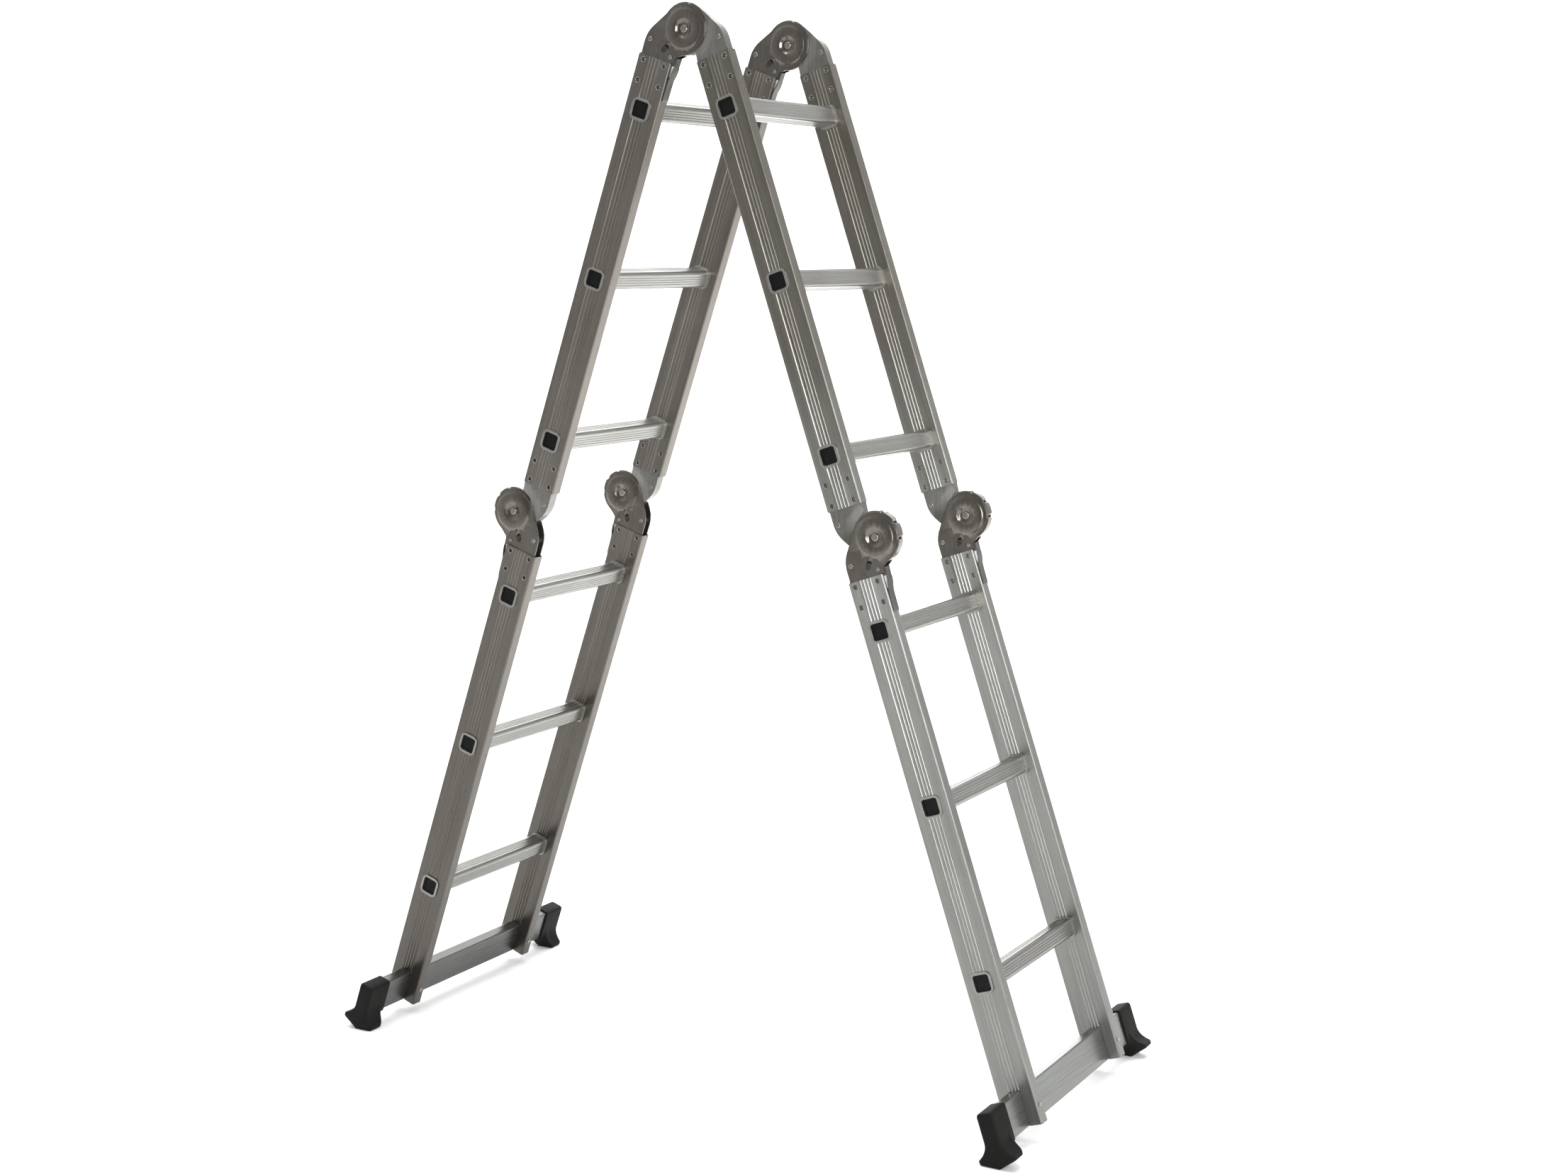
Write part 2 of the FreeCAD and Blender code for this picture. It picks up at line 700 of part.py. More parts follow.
def lock_bolt(label, placement):
    """The round bar that drops into the disc's notches, its ends held in the plates' slots."""
    body = new_body(label)
    shank = new_sketch(body, "shank")
    circle(shank, (BOLT_X + "bolt_clear", BOLT_Z + "bolt_clear"), "bolt_radius")
    pad(body, shank, "2 * bolt_half", both_ways=True)
    round_off(body, "0.8", lambda edge: edge.BoundBox.YLength < 1e-3)
    body.Placement = placement
    return body


# the lever's outer face, drawn: distance from the hinge axis, and from the stile's centreline
LEVER_BACK = [(47.0, 38.9), (60.0, 38.1), (72.0, 37.0), (83.0, 34.2), (98.0, 33.7), (113.0, 33.5)]


def lever_line(inset=0.0):
    """The lever's outer face, or a line inset behind it, as x and z in the hinge's frame."""
    return [(side - inset - OFFSET, -along) for along, side in LEVER_BACK]


def seen_from_lever(x, z):
    """A point fixed to the lock plates as the lever's own drawing sees it once it has locked."""
    turn = Rotation(Y_AXIS, size("lever_swing"))
    pivot = Vector(LEVER_PIVOT[0], 0, LEVER_PIVOT[1])
    point = pivot + turn.multVec(Vector(x, 0, z) - pivot)
    return point.x, point.z


def lever(label, placement):
    """The release lever: a channel pivoted at the far corner of the lock plates.

    It passes under the lock bolt, which sits in a seat in its two cheeks, and comes out past the
    stile's edge as a finger piece. Pressed in, it swings down and lets the bolt out of the disc.
    """
    body = new_body(label)
    edge = size("stile_depth") / 2 - OFFSET + 0.45
    floor = -size("stile_gap") + 0.7
    back = lever_line()
    web = lever_line(inset=1.8)
    top = -size("stile_gap") - 4.6  # stays below the lock plates when the lever swings up
    finger = new_sketch(body, "finger")
    nose = [(back[-1][0] - 1, -size("lever_reach")), (edge, -size("lever_reach"))]
    polygon(finger, texts([(edge, top), (back[1][0] - 0.2, top)] + back[2:] + nose))
    pad(body, finger, "2 * lever_half", both_ways=True)
    arms = new_sketch(body, "arms")
    outside = [(back[0][0] - 2, -43.0), back[0], back[1], (back[1][0] - 0.2, top), (edge, top)]
    underneath = [(edge, floor), (-15.0, floor), (-29.0, -46.5), (-51.0, -37.5)]
    eye = [(-57.5, -36.2), (-59.3, -32.5), (-58.0, -28.5), (-54.0, -26.8)]
    polygon(arms, texts(outside + underneath + eye + [(-42.0, -28.0), (-29.0, -28.0), (-6, -38)]))
    pad(body, arms, "2 * lever_arm_half", both_ways=True)
    for x, z in ((0, 0), seen_from_lever(0, 0)):
        through(body, "disc_room", [(("%.3f" % x, "%.3f" % z), "disc_radius + 0.6")])
    between = new_sketch(body, "between_arms")
    polygon(between, texts([(web[0][0], -30), web[0], web[1], (-62, web[1][1]), (-62, -22),
                            (-20, -22)]))
    pocket(body, between, "2 * (lever_arm_half - 2)")
    window = new_sketch(body, "window")
    polygon(window, texts([(edge - 1, -60), (web[1][0], -60), web[2], web[3], (edge - 1, web[3][1])]))
    pocket(body, window)
    drawn = (BOLT_X + "bolt_clear", BOLT_Z + "bolt_clear")
    inward = size("bolt_clear") - size("bolt_travel")
    locked = texts([seen_from_lever(worth(BOLT_X + str(inward)), worth(BOLT_Z + str(inward)))])[0]
    oblong(body, "bolt_seat", drawn, locked, "bolt_radius + 3 * fit")
    ends = [(worth(x), worth(z)) for x, z in (drawn, locked)]
    mouth = set_off(ends[0], ends[1], 9.0)
    spread = (size("bolt_radius") + 3 * size("fit")) / math.dist(*ends)
    across = ((ends[1][0] - ends[0][0]) * spread, (ends[1][1] - ends[0][1]) * spread)
    opening = []
    for (x, z), way in ((ends[0], -1), (ends[1], 1), (mouth[1], 1), (mouth[0], -1)):
        opening.append((x + way * across[0], z + way * across[1]))
    seat_mouth = new_sketch(body, "seat_mouth")
    polygon(seat_mouth, texts(opening))
    pocket(body, seat_mouth)
    stopped = texts([seen_from_lever(*[worth(formula) for formula in STOP_PIN])])[0]
    oblong(body, "stop_slot", STOP_PIN, stopped, "stop_radius + 6 * fit")
    through(body, "pivot_hole", [(texts([LEVER_PIVOT])[0], "rivet_radius + fit")])
    body.Placement = placement
    return body


def hairpin():
    """The folded leaf between the stile's edge and the lever that presses the lever out."""
    body = new_body("hairpin")
    strip = new_sketch(body, "strip")
    foot = size("stile_depth") / 2 - OFFSET + 0.05
    thick = 0.6
    polygon(
        strip,
        texts(
            [(foot, -60), (foot, -78.6), (foot + 0.9, -80), (foot + 1.7, -78.6)]
            + [(foot + 4.9, -61), (foot + 4.3, -61), (foot + 1.1, -78.2)]
            + [(foot + thick, -78.2), (foot + thick, -60)]
        ),
    )
    pad(body, strip, "9", both_ways=True)
    return body


# ---------------------------------------------------------------- stabiliser bars and feet
def stabiliser(label, placement):
    """The rectangular tube that joins the two stile ends and carries the feet."""
    body = new_body(label)
    middle = "(-bar_top - bar_height / 2)"
    for name, inset, corner in (
        ("tube", "0", "bar_corner"),
        ("bore", "bar_wall", "bar_corner - bar_wall + 0.3"),
    ):
        sketch = new_sketch(body, name)
        rounded_box(
            sketch,
            "-bar_thick / 2 + %s" % inset,
            "bar_thick / 2 - %s" % inset,
            "%s - bar_height / 2 + %s" % (middle, inset),
            "%s + bar_height / 2 - %s" % (middle, inset),
            corner,
        )
        if name == "tube":
            pad(body, sketch, "2 * bar_half", both_ways=True)
        else:
            pocket(body, sketch)
    places = [
        (("%s * (overall_width - stile_width) / 2" % side, middle), "rivet_radius + fit")
        for side in (-1, 1)
    ]
    through(body, "fixing_holes", places, "YZ_Plane")
    body.Placement = placement
    return body


def foot(label, placement):
    """A rubber boot over the bar's end on a wide sole with two flats, one for each lean."""
    body = new_body(label)
    long = "(boot_outer - boot_inner)"
    boot = new_sketch(body, "boot")
    rounded_box(boot, "-boot_half", "boot_half", "-boot_bottom", "-boot_top", "5")
    set_back(boot, "-boot_outer")
    pad(body, boot, long)
    gusset = new_sketch(body, "gusset", "YZ_Plane")
    polygon(
        gusset,
        [
            ("boot_inner", "-boot_bottom + 6"),
            ("boot_inner", "-boot_bottom"),
            ("sole_inner", "-sole_ridge + 12"),
            ("boot_outer", "-sole_ridge + 12"),
            ("boot_outer", "-boot_bottom + 6"),
        ],
    )
    pad(body, gusset, "2 * boot_half", both_ways=True)
    tip = "-sole_ridge + sole_half * tan(lean_angle)"
    sole = new_sketch(body, "sole")
    polygon(
        sole,
        [
            ("0", "-sole_ridge"),
            ("sole_half", tip),
            ("sole_half", tip + " + sole_edge"),
            ("boot_half", "-sole_flare_top"),
            ("-boot_half", "-sole_flare_top"),
            ("-sole_half", tip + " + sole_edge"),
            ("-sole_half", tip),
        ],
    )
    set_back(sole, "-boot_outer")
    pad(body, sole, "boot_outer - sole_inner")

    def is_outer_rim(edge):
        box = edge.BoundBox
        high = box.ZMin > -size("boot_bottom") + 1
        return high and box.YLength < 1e-3 and abs(box.YMin - size("boot_outer")) < 1e-3

    round_off(body, "3", is_outer_rim)
    socket = new_sketch(body, "socket")
    rounded_box(
        socket,
        "-bar_thick / 2 - fit",
        "bar_thick / 2 + fit",
        "-bar_top - bar_height - fit",
        "-bar_top + fit",
        "bar_corner",
    )
    pocket(body, socket, "2 * (bar_half + fit)")
    body.Placement = placement
    return body


# ---------------------------------------------------------------- the ladder
plug, plate, disc = end_plug(), cheek(), disc_leaf()
inner_plate = doc.addObject("Part::Mirroring", "inner_cheek")
inner_plate.Source = plate
inner_plate.Normal = Y_AXIS
spring, stile_rivet = hairpin(), eyelet()
leaf_rivet = rivet("leaf_rivet", "rivet_radius", "neck_half", "rivet_head", "rivet_dome")
bar_rivet = rivet("bar_rivet", "rivet_radius", "stile_depth / 2", "rivet_head", "rivet_dome")
axle = rivet("axle", "pin_radius", "neck_half - bowl_depth", "pin_head_radius", "2.6")
stop_pin = rivet("stop_pin", "stop_radius", "neck_half", "rivet_head - 0.8", "1.2")

nodes = []
LEAF_AT = {
    "upper_left": (("apex", LEVER_PIVOT), ("left_mid", NECK_RIVET)),
    "upper_right": (("apex", NECK_RIVET), ("right_mid", NECK_RIVET)),
    "lower_left": (("left_mid", LEVER_PIVOT),),
    "lower_right": (("right_mid", LEVER_PIVOT),),
}


def section(level, side):
    """The stiles, rungs, end plugs and rivets of one quarter of the ladder."""
    name = "%s_%s" % (level, side)
    upper = level == "upper"
    home = LEG[side] * CENTRELINE[side]
    rungs = [size("first_rung") + (i + (0 if upper else 3)) * size("rung_pitch") for i in range(3)]
    for word, sign in SIDES:
        label = "%s_%s_stile" % (name, word)
        nodes.append(stile(label, upper, home * moved(y=sign * STILE_Y)))
    for number, along in enumerate(rungs, start=1):
        nodes.append(rung("%s_rung_%d" % (name, number), home * moved(z=-along)))
    plugs = []
    for along in rungs:
        plugs.append(linked(plug, moved(z=-along)))
        plugs.append(linked(plug, moved(z=-along) * HALF_TURN))
    nodes.append(group(name + "_rung_plugs", plugs, home))
    nodes.append(group(name + "_rivets", section_rivets(name, upper), home))


def section_rivets(name, upper):
    """Four rivets at each hinge end of each stile, one in each leaf's neck, two for the bar."""
    members = []
    side = name.split("_")[1]
    home = LEG[side] * CENTRELINE[side]
    ends = [(0, 1), (size("leg_to_mid"), -1)] if upper else [(size("leg_to_mid"), 1)]
    for _, sign in SIDES:
        for pivot, way in ends:
            for reach in ("rivet_near", "rivet_far"):
                for x in (-size("rivet_side"), size("rivet_side")):
                    where = moved(x, sign * STILE_Y, -pivot - way * size(reach))
                    members.append(linked(stile_rivet, where))
        for axis, (x, z) in LEAF_AT[name]:
            frame = DISC_TURN[axis] if z > 0 else AXIS[axis]
            members.append(
                linked(leaf_rivet, home.inverse() * frame * moved(x, sign * STILE_Y, z))
            )
        if not upper:
            drop = -size("bar_top") - size("bar_height") / 2
            members.append(linked(bar_rivet, moved(0, sign * STILE_Y, drop, turn=90)))
    return members


def both_sides(source):
    return [linked(source, moved(y=sign * STILE_Y)) for _, sign in SIDES]


def hinge(axis):
    """Both hinges on one axis: plates, discs, pins and springs, and each one's lock."""
    frame = AXIS[axis]
    nodes.append(group(axis + "_lock_plates", both_sides(plate) + both_sides(inner_plate), frame))
    nodes.append(group(axis + "_disc_leaves", both_sides(disc), DISC_TURN[axis]))
    stop_at = moved(x=worth(STOP_PIN[0]), z=worth(STOP_PIN[1]))
    pins = both_sides(axle)
    pins += [linked(stop_pin, moved(y=sign * STILE_Y) * stop_at) for _, sign in SIDES]
    nodes.append(group(axis + "_pins", pins, frame))
    nodes.append(group(axis + "_lever_springs", both_sides(spring), frame))
    for word, sign in SIDES:
        here = frame * moved(y=sign * STILE_Y)
        nodes.append(lever("%s_%s_lever" % (axis, word), here))
        nodes.append(lock_bolt("%s_%s_lock_bolt" % (axis, word), here))


for leg_side in ("left", "right"):
    for leg_level in ("upper", "lower"):
        section(leg_level, leg_side)
    leg_home = LEG[leg_side] * CENTRELINE[leg_side]
    nodes.append(stabiliser("%s_stabiliser_bar" % leg_side, leg_home))
    nodes.append(foot("%s_far_foot" % leg_side, leg_home))
    nodes.append(foot("%s_near_foot" % leg_side, leg_home * HALF_TURN))
for hinge_axis in ("apex", "left_mid", "right_mid"):
    hinge(hinge_axis)

# ---------------------------------------------------------------- checks and files
doc.recompute()
for item in doc.Objects:
    if "Invalid" in item.State or "Error" in item.State:
        raise RuntimeError("%s failed: %s" % (item.Label, item.State))
os.makedirs("parts", exist_ok=True)
for node in nodes:
    if node.Shape.isNull() or not node.Shape.isValid():
        raise RuntimeError("%s has no valid shape" % node.Label)
    node.Shape.exportStep("parts/%s.step" % node.Label)
print("%d nodes" % len(nodes))
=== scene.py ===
"""Looks of the multi position ladder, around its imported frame.

Metres, in the frame's own axes: X is the way the legs spread, Y runs along the rungs, Z is up.
The CAD nodes keep their shapes; their edges are rounded by modifiers and each gets a finish.
The rubber feet are rebuilt here as smooth lofts, measured from the CAD feet they replace.
"""

import json
import math

import bmesh
import bpy
from mathutils import Matrix, Vector


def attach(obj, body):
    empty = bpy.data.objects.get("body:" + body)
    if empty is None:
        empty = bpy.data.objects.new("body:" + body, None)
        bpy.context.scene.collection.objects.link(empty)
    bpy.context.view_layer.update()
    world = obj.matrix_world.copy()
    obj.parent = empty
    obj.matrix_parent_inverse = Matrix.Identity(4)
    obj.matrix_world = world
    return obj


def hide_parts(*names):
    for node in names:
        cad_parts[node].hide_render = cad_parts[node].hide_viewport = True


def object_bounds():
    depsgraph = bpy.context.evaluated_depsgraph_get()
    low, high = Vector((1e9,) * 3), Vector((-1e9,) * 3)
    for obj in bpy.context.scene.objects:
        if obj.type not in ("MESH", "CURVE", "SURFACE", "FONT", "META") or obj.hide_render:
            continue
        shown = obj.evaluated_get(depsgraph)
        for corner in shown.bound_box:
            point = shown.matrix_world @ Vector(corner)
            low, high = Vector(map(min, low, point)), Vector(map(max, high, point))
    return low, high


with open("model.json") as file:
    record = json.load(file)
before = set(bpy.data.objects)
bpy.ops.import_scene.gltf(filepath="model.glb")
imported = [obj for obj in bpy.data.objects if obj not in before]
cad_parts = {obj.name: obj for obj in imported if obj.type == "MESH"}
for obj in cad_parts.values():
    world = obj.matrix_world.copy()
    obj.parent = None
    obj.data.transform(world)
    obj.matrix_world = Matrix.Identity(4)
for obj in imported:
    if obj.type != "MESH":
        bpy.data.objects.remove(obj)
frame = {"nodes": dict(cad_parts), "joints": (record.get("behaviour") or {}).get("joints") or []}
cad_box = [list(corner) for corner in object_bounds()]
nodes = frame["nodes"]

JOINT = {joint["name"]: joint for joint in frame["joints"]}
APEX = Vector(JOINT["apex_fold"]["pos_m"])
LEAN = math.radians(max(JOINT["apex_fold"]["range_deg"]) / 2)
LADDER_HEIGHT = cad_box[1][2]
# each leg's own frame: its origin on the apex axis, Z up along the leg
LEG = {
    side: Matrix.Translation(APEX) @ Matrix.Rotation(turn, 4, "Y")
    for side, turn in (("left", LEAN), ("right", -LEAN))
}


# ---------------------------------------------------------------- materials
class Finish:
    """A material under construction: a Principled shader and short ways to add nodes to it."""

    def __init__(self, name, metallic=0.0, specular=0.5):
        self.material = bpy.data.materials.new(name)
        self.material.use_nodes = True
        self.tree = self.material.node_tree
        self.shader = self.tree.nodes["Principled BSDF"]
        self.shader.inputs["Metallic"].default_value = metallic
        self.shader.inputs["Specular IOR Level"].default_value = specular
        self.place = self.add("ShaderNodeTexCoord").outputs["Object"]

    def add(self, kind, **settings):
        node = self.tree.nodes.new(kind)
        for key, value in settings.items():
            setattr(node, key, value)
        return node

    def link(self, start, end):
        self.tree.links.new(start, end)

    def along(self, lean, stretch):
        """Coordinates that follow a leg's lean, squeezed by stretch on each axis."""
        turned = self.add("ShaderNodeMapping")
        turned.inputs["Rotation"].default_value = (0, -lean, 0)
        self.link(self.place, turned.inputs["Vector"])
        scaled = self.add("ShaderNodeMapping")
        scaled.inputs["Scale"].default_value = stretch
        self.link(turned.outputs["Vector"], scaled.inputs["Vector"])
        return scaled.outputs["Vector"]

    def noise(self, where, scale, detail, roughness=0.55):
        node = self.add("ShaderNodeTexNoise")
        node.inputs["Scale"].default_value = scale
        node.inputs["Detail"].default_value = detail
        node.inputs["Roughness"].default_value = roughness
        self.link(where, node.inputs["Vector"])
        return node.outputs["Fac"]

    def ramp(self, value, stops):
        """A colour or grey for each value: stops is a list of (position, colour)."""
        node = self.add("ShaderNodeValToRGB")
        elements = node.color_ramp.elements
        while len(elements) < len(stops):
            elements.new(0.5)
        for element, (position, colour) in zip(elements, stops):
            element.position = position
            element.color = (*colour, 1.0) if len(colour) == 3 else (*colour * 3, 1.0)
        self.link(value, node.inputs["Fac"])
        return node.outputs["Color"]

    def mix(self, first, second, amount, blend="MIX"):
        node = self.add("ShaderNodeMix", data_type="RGBA", blend_type=blend)
        node.inputs[0].default_value = amount
        self.link(first, node.inputs[6])
        self.link(second, node.inputs[7])
        return node.outputs[2]

    def bump(self, height, strength, distance, after=None):
        node = self.add("ShaderNodeBump")
        node.inputs["Strength"].default_value = strength
        node.inputs["Distance"].default_value = distance
        self.link(height, node.inputs["Height"])
        if after is not None:
            self.link(after, node.inputs["Normal"])
        return node.outputs["Normal"]

    def finish(self, colour, roughness, normal):
        self.link(colour, self.shader.inputs["Base Color"])
        self.link(roughness, self.shader.inputs["Roughness"])
        self.link(normal, self.shader.inputs["Normal"])
        return self.material


def shade(colour, factor):
    return tuple(min(1.0, channel * factor) for channel in colour)


def drawn_metal(name, colour, rough, lean=0.0, axis="Z", heights=((0.0, (1.0,)),)):
    """Extruded or drawn metal: fine lines along one axis, faint handling marks, a soft sheen.

    rough is the smoothest and the roughest it gets. heights tints it by its height above the
    floor at rest, as painted reflection and shade: pairs of metres and a tone.
    """
    made = Finish(name, metallic=0.92)
    fine = {"Z": (1.0, 1.0, 0.012), "Y": (1.0, 0.012, 1.0)}[axis]
    long = {"Z": (1.0, 1.0, 0.2), "Y": (1.0, 0.2, 1.0)}[axis]
    lines = made.noise(made.along(lean, fine), 900.0, detail=5.0, roughness=0.7)
    streaks = made.noise(made.along(lean, fine), 130.0, detail=3.0)
    cloud = made.noise(made.place, 5.5, detail=6.0)
    marks = made.noise(made.along(lean, long), 48.0, detail=8.0, roughness=0.72)
    line_tone = made.ramp(lines, [(0.3, shade(colour, 0.86)), (0.7, shade(colour, 1.14))])
    streak_tone = made.ramp(streaks, [(0.35, (0.86,)), (0.65, (1.0,))])
    cloud_tone = made.ramp(cloud, [(0.3, (0.82, 0.80, 0.78)), (0.72, (1.0, 1.0, 1.0))])
    mark_tone = made.ramp(marks, [(0.2, (0.74,)), (0.36, (1.0,)), (1.0, (1.0,))])
    tone = made.mix(line_tone, streak_tone, 0.8, "MULTIPLY")
    tone = made.mix(tone, cloud_tone, 0.75, "MULTIPLY")
    tone = made.mix(tone, mark_tone, 0.4, "MULTIPLY")
    parts = made.add("ShaderNodeSeparateXYZ")
    made.link(made.place, parts.inputs["Vector"])
    # painted reflection and shade: a tone by height above the floor
    height = made.add("ShaderNodeMapRange")
    height.inputs["From Max"].default_value = LADDER_HEIGHT
    made.link(parts.outputs["Z"], height.inputs["Value"])
    by_height = [(metres / LADDER_HEIGHT, tone_there) for metres, tone_there in heights]
    tint = made.ramp(height.outputs["Result"], by_height + [(1.0, heights[-1][1])])
    tone = made.mix(tone, tint, 1.0, "MULTIPLY")
    low, high = rough
    polish = made.mix(
        made.ramp(cloud, [(0.25, (low,)), (0.75, (high,))]),
        made.ramp(streaks, [(0.3, (low,)), (0.7, (high,))]),
        0.5,
    )
    relief = made.bump(lines, 0.1, 0.0002)
    relief = made.bump(marks, 0.03, 0.0003, relief)
    return made.finish(tone, polish, relief)


def pressed_steel(name, colour, rough):
    """Plated sheet steel: a fine orange-peel, faint rolling lines and dull patches."""
    made = Finish(name, metallic=0.85)
    peel = made.noise(made.place, 420.0, detail=4.0, roughness=0.6)
    roll = made.noise(made.along(0.0, (1.0, 1.0, 0.06)), 260.0, detail=4.0)
    patch = made.noise(made.place, 22.0, detail=7.0, roughness=0.65)
    spots = made.add("ShaderNodeTexVoronoi", feature="F1")
    spots.inputs["Scale"].default_value = 170.0
    made.link(made.place, spots.inputs["Vector"])
    base = made.ramp(roll, [(0.3, shade(colour, 0.88)), (0.7, shade(colour, 1.12))])
    worn = made.ramp(patch, [(0.3, (0.74, 0.72, 0.70)), (0.68, (1.0, 1.0, 1.0))])
    pits = made.ramp(spots.outputs["Distance"], [(0.04, (0.6,)), (0.12, (1.0,))])
    tone = made.mix(base, worn, 0.8, "MULTIPLY")
    tone = made.mix(tone, pits, 0.35, "MULTIPLY")
    polish = made.ramp(patch, [(0.28, (rough[0],)), (0.72, (rough[1],))])
    relief = made.bump(peel, 0.05, 0.0002)
    relief = made.bump(roll, 0.04, 0.0002, relief)
    return made.finish(tone, polish, relief)


def moulded(name, colour, rough, grain_scale, depth, specular):
    """Moulded plastic or rubber: a fine leathery grain with a little dust in it."""
    made = Finish(name, specular=specular)
    grain = made.add("ShaderNodeTexVoronoi", feature="SMOOTH_F1")
    grain.inputs["Scale"].default_value = grain_scale
    made.link(made.place, grain.inputs["Vector"])
    fine = made.noise(made.place, grain_scale * 0.6, detail=6.0, roughness=0.7)
    broad = made.noise(made.place, 16.0, detail=5.0)
    base = made.ramp(fine, [(0.3, colour), (0.75, shade(colour, 1.5))])
    dull = made.ramp(broad, [(0.3, (0.82,)), (0.7, (1.0,))])
    tone = made.mix(base, dull, 0.8, "MULTIPLY")
    polish = made.ramp(broad, [(0.3, (rough,)), (0.75, (min(1.0, rough + 0.16),))])
    relief = made.bump(grain.outputs["Distance"], 0.25, depth)
    relief = made.bump(fine, 0.2, depth, relief)
    return made.finish(tone, polish, relief)


# part of what the photo's metal reflects is in the finish: a tone by height for each leg
# painted shade and painted light: both legs are the same aluminium; the left stiles get a darker,
# warmer copy as painted shade and the right stiles a lighter copy as painted light
LEFT_STILE_SHADED, RIGHT_STILE_LIT = (0.25, 0.235, 0.211), (0.4, 0.405, 0.388)
LEFT_HEIGHTS = ((0.0, (0.36,)), (0.45, (0.52,)), (0.9, (0.82,)), (1.2, (0.86,)))
RIGHT_HEIGHTS = ((0.0, (0.5,)), (0.5, (0.66,)), (0.85, (0.92,)), (1.2, (0.6, 0.57, 0.53)),
                 (1.5, (0.52, 0.49, 0.45)))
# painted shade: the rungs darken towards the floor, a tone by height in place of what their metal
# reflects
RUNG_HEIGHTS = ((0.0, (0.62,)), (1.0, (1.0,)))
STILE_ROUGH, CROSS_ROUGH = (0.24, 0.38), (0.24, 0.36)
FINISHES = {
    "stile_left": drawn_metal("stile_left", LEFT_STILE_SHADED, STILE_ROUGH, LEAN, heights=LEFT_HEIGHTS),
    "stile_right": drawn_metal("stile_right", RIGHT_STILE_LIT, STILE_ROUGH, -LEAN, heights=RIGHT_HEIGHTS),
    "rung": drawn_metal("rung", (0.36, 0.36, 0.343), CROSS_ROUGH, axis="Y", heights=RUNG_HEIGHTS),
    # painted shade and painted light: the two legs' bars are one metal, the left bar darker as
    # painted shade and the right bar lighter as painted light
    "bar_left": drawn_metal("bar_left", (0.13, 0.135, 0.13), CROSS_ROUGH, axis="Y"),
    "bar_right": drawn_metal("bar_right", (0.21, 0.217, 0.208), CROSS_ROUGH, axis="Y"),
    "lock_plate": pressed_steel("lock_plate", (0.16, 0.148, 0.132), rough=(0.17, 0.25)),
    "disc_leaf": pressed_steel("disc_leaf", (0.24, 0.236, 0.22), rough=(0.18, 0.28)),
    "lever": pressed_steel("lever", (0.14, 0.14, 0.132), rough=(0.26, 0.4)),
    "pin": pressed_steel("pin", (0.3, 0.29, 0.27), rough=(0.14, 0.24)),
    "bolt": pressed_steel("bolt", (0.07, 0.07, 0.068), rough=(0.3, 0.42)),
    "spring": pressed_steel("spring", (0.9, 0.9, 0.9), rough=(0.2, 0.32)),
    "rivet": pressed_steel("rivet", (0.26, 0.26, 0.25), rough=(0.16, 0.28)),
    "plug": moulded("plug", (0.004, 0.0042, 0.0042), 0.5, 900.0, 0.0002, specular=0.12),
    "rubber": moulded("rubber", (0.0036, 0.0032, 0.0029), 0.6, 700.0, 0.0004, specular=0.14),
}


def finish_of(node):
    """The finish that a CAD node wears, from its name."""
    if "stile" in node:
        return "stile_left" if "_left_" in node else "stile_right"
    if node.endswith("_bar"):
        return "bar_left" if node.startswith("left") else "bar_right"
    for ending, finish in (
        ("_rivets", "rivet"),
        ("_rung_plugs", "plug"),
        ("_lock_plates", "lock_plate"),
        ("_disc_leaves", "disc_leaf"),
        ("_pins", "pin"),
        ("_lever_springs", "spring"),
        ("_lock_bolt", "bolt"),
        ("_lever", "lever"),
        ("_foot", "rubber"),
    ):
        if node.endswith(ending):
            return finish
    return "rung"


EDGE_ROUNDING = {
    "stile_left": 0.0002,
    "stile_right": 0.0002,
    "rung": 0.0003,
    "rivet": 0.0002,
    "plug": 0.0007,
    "bar_left": 0.0004,
    "bar_right": 0.0004,
    "lock_plate": 0.0007,
    "disc_leaf": 0.0009,
    "lever": 0.0006,
    "pin": 0.0003,
    "bolt": 0.0004,
    "spring": 0.0001,
    "rubber": 0.0018,
}


def dress(piece, finish):
    """Give a piece its finish, rounded edges and clean shading."""
    piece.data.materials.clear()
    piece.data.materials.append(FINISHES[finish])
    for polygon in piece.data.polygons:
        polygon.material_index = 0
    weld = piece.modifiers.new("weld", "WELD")
    weld.merge_threshold = 0.00001
    bevel = piece.modifiers.new("edges", "BEVEL")
    bevel.width = EDGE_ROUNDING[finish]
    bevel.segments = 2
    bevel.limit_method = "ANGLE"
    bevel.angle_limit = math.radians(40)
    shading = piece.modifiers.new("shading", "WEIGHTED_NORMAL")
    shading.keep_sharp = False
    shading.weight = 60


for node_name, node_object in nodes.items():
    dress(node_object, finish_of(node_name))


# ---------------------------------------------------------------- feet
BOOT_ROUND = 0.005  # corners of the boot over the bar's end
BOOT_WALL = 0.0035  # rubber over the bar's two wide faces
BOOT_FLOOR = 0.004  # rubber under the bar at the boot's inner end
INNER_VEE = 0.3  # share of the inner end's shallow vee that hangs below that floor
SLEEVE = 0.008  # length at the inner end before the boot starts to spread
SOLE_START = 0.44  # share of the boot's length at which the sole has its full spread
SPREAD_PAST = 0.001  # the spread's smooth step ends this far past that place
SOLE_EDGE = 0.0065  # height of the sole's side edges
FLARE_POWER = 2.3  # how late the flank sweeps out into the sole
TIP_ROUND = 0.0016  # chamfer between a side edge and a flat of the sole
END_ROUND = 0.0045  # rounding of the boot's outer end
INNER_ROUND = END_ROUND * 0.4  # and of its inner end
TREAD_GROOVES = 5
TREAD_DEPTH = 0.0011
GROOVE_FROM, GROOVE_TO = 0.35, 0.75  # where a groove lies in its own pitch
GROOVE_SLOPE = 0.0004  # run of a groove's side walls


